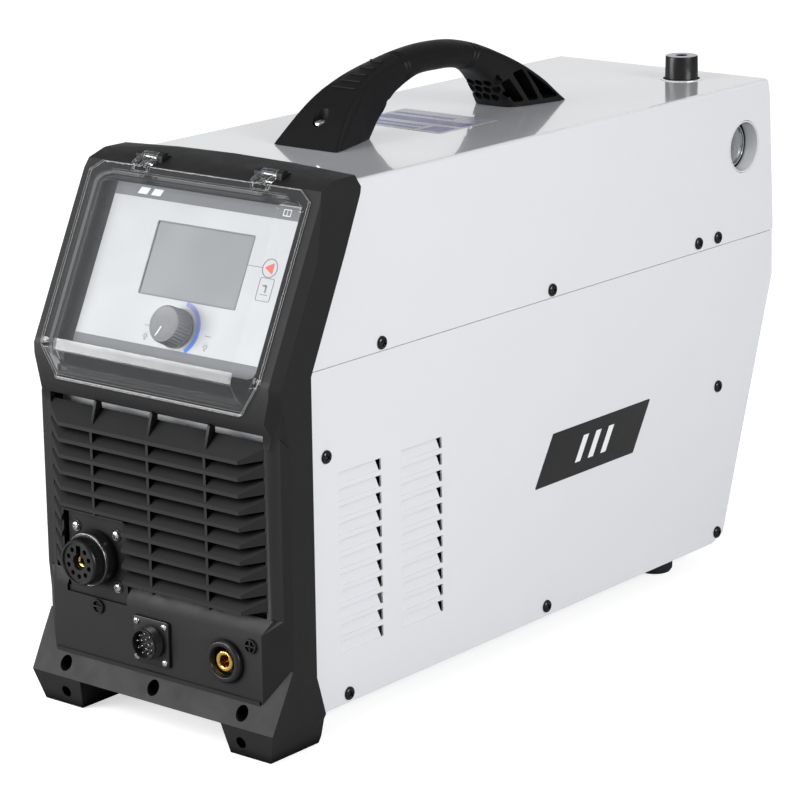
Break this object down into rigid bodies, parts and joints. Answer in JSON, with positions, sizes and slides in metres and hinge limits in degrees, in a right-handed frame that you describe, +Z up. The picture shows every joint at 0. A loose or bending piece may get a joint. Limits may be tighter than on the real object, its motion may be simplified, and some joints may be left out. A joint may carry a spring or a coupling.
{
  "type": "plasma cutter unit",
  "caption": "Portable plasma cutting power source: white steel case, charcoal front bezel with grille, clear hinged panel cover, carry handle and front sockets.",
  "frame": {"origin": "on the floor under the middle of the unit's box", "axes": "+Z up, -Y is the front with the controls, +X to the right seen from the front"},
  "size_m": [0.2386, 0.7216, 0.461],
  "materials": {
    "bezel_plastic": "fine moulded texture, charcoal",
    "white_paint": "gloss white powder coat",
    "dark_paint": "satin black powder coat",
    "galvanised": "zinc plated sheet",
    "black_plastic": "satin black moulding",
    "handle_plastic": "satin black moulding with fine grain",
    "clear_plastic": "clear polycarbonate",
    "panel_film": "printed silver overlay",
    "display": "unlit grey display glass",
    "knob_grey": "grey ribbed knob",
    "steel": "plated steel",
    "brass": "turned brass",
    "copper": "turned copper alloy",
    "aluminium": "cast and extruded aluminium",
    "circuit_board": "lacquered circuit board",
    "capacitor_sleeve": "sleeved capacitor can",
    "core": "ferrite core with taped winding",
    "hose": "blue air hose",
    "cable": "black rubber cable sheath",
    "rubber": "moulded rubber"
  },
  "bodies": {
    "case": {"front_bezel": "bezel_plastic", "inner_front_plate": "white_paint", "control_panel": "panel_film", "lcd_display": "display", "encoder_body": "steel", "control_board": "circuit_board", "cover_hinge_pin_left": "steel", "cover_hinge_pin_right": "steel", "torch_socket_body": "black_plastic", "torch_socket_contact": "copper", "control_socket": "black_plastic", "work_socket_housing": "black_plastic", "work_socket_insert": "brass", "top_cover": "white_paint", "side_panel_left": "white_paint", "side_panel_right": "white_paint", "base_tray": "galvanised", "rear_panel": "dark_paint", "carry_handle": "handle_plastic", "handle_screw_front": "steel", "handle_screw_rear": "steel", "regulator_body": "aluminium", "filter_bowl": "clear_plastic", "knob_trim_ring": "white_paint", "gauge_body": "steel", "gauge_lens": "clear_plastic", "gauge_window_sleeve": "white_paint", "air_inlet_fitting": "brass", "solenoid_valve": "black_plastic", "air_hose": "hose", "fan_frame": "black_plastic", "fan_guard": "steel", "mains_switch_body": "black_plastic", "mains_switch_plate": "steel", "cable_gland": "black_plastic", "power_cable": "cable", "earth_bolt": "steel", "heatsink": "aluminium", "main_board": "circuit_board", "bus_capacitor_left": "capacitor_sleeve", "bus_capacitor_right": "capacitor_sleeve", "power_transformer": "core", "output_inductor": "copper", "rear_foot_left": "rubber", "rear_foot_right": "rubber"},
    "lid": {"clear_cover": "clear_plastic"},
    "knob_push": {"encoder_plunger": "black_plastic"},
    "knob": {"control_knob": "knob_grey", "encoder_shaft": "aluminium"},
    "adjusting_screw": {"regulator_stem": "brass"},
    "pressure_knob": {"regulator_knob": "black_plastic"},
    "needle": {"gauge_needle": "black_plastic"},
    "fan": {"fan_rotor": "black_plastic"},
    "switch_handle": {"mains_switch_knob": "black_plastic"},
    "drain": {"bowl_drain_button": "black_plastic"},
    "plunger": {"valve_plunger": "steel"}
  },
  "joints": [
    {"name": "clear_cover_hinge", "type": "hinge", "parent": "case", "child": "lid", "pos_m": [0, -0.26878, 0.4035], "axis": [-1, 0, 0], "range_deg": [0, 120]},
    {"name": "control_knob_push", "type": "slide", "parent": "case", "child": "knob_push", "axis": [0, 0.8988, -0.4384], "range_m": [0, 0.0005]},
    {"name": "control_knob_turn", "type": "hinge", "parent": "knob_push", "child": "knob", "pos_m": [0.007, -0.32728, 0.29962], "axis": [0, -0.8988, 0.4384], "continuous": true},
    {"name": "regulator_turn", "type": "hinge", "parent": "case", "child": "adjusting_screw", "pos_m": [0.049, 0.25222, 0.4], "axis": [0, 0, 1], "range_deg": [-540, 540]},
    {"name": "regulator_knob_lift", "type": "slide", "parent": "adjusting_screw", "child": "pressure_knob", "axis": [0, 0, 1], "range_m": [0, 0.003]},
    {"name": "gauge_needle_swing", "type": "hinge", "parent": "case", "child": "needle", "pos_m": [0.0914, 0.25872, 0.3485], "axis": [-1, 0, 0], "range_deg": [0, 270]},
    {"name": "fan_spin", "type": "hinge", "parent": "case", "child": "fan", "pos_m": [0, 0.26781, 0.13118], "axis": [0, 0.95, -0.3122], "continuous": true},
    {"name": "mains_switch_turn", "type": "hinge", "parent": "case", "child": "switch_handle", "pos_m": [-0.048, 0.29972, 0.342], "axis": [0, -0.9986, -0.0523], "range_deg": [0, 90]},
    {"name": "bowl_drain_push", "type": "slide", "parent": "case", "child": "drain", "axis": [0, 0, 1], "range_m": [0, 0.002]},
    {"name": "valve_plunger_slide", "type": "slide", "parent": "case", "child": "plunger", "axis": [0, 0, 1], "range_m": [0, 0.003]}
  ]
}
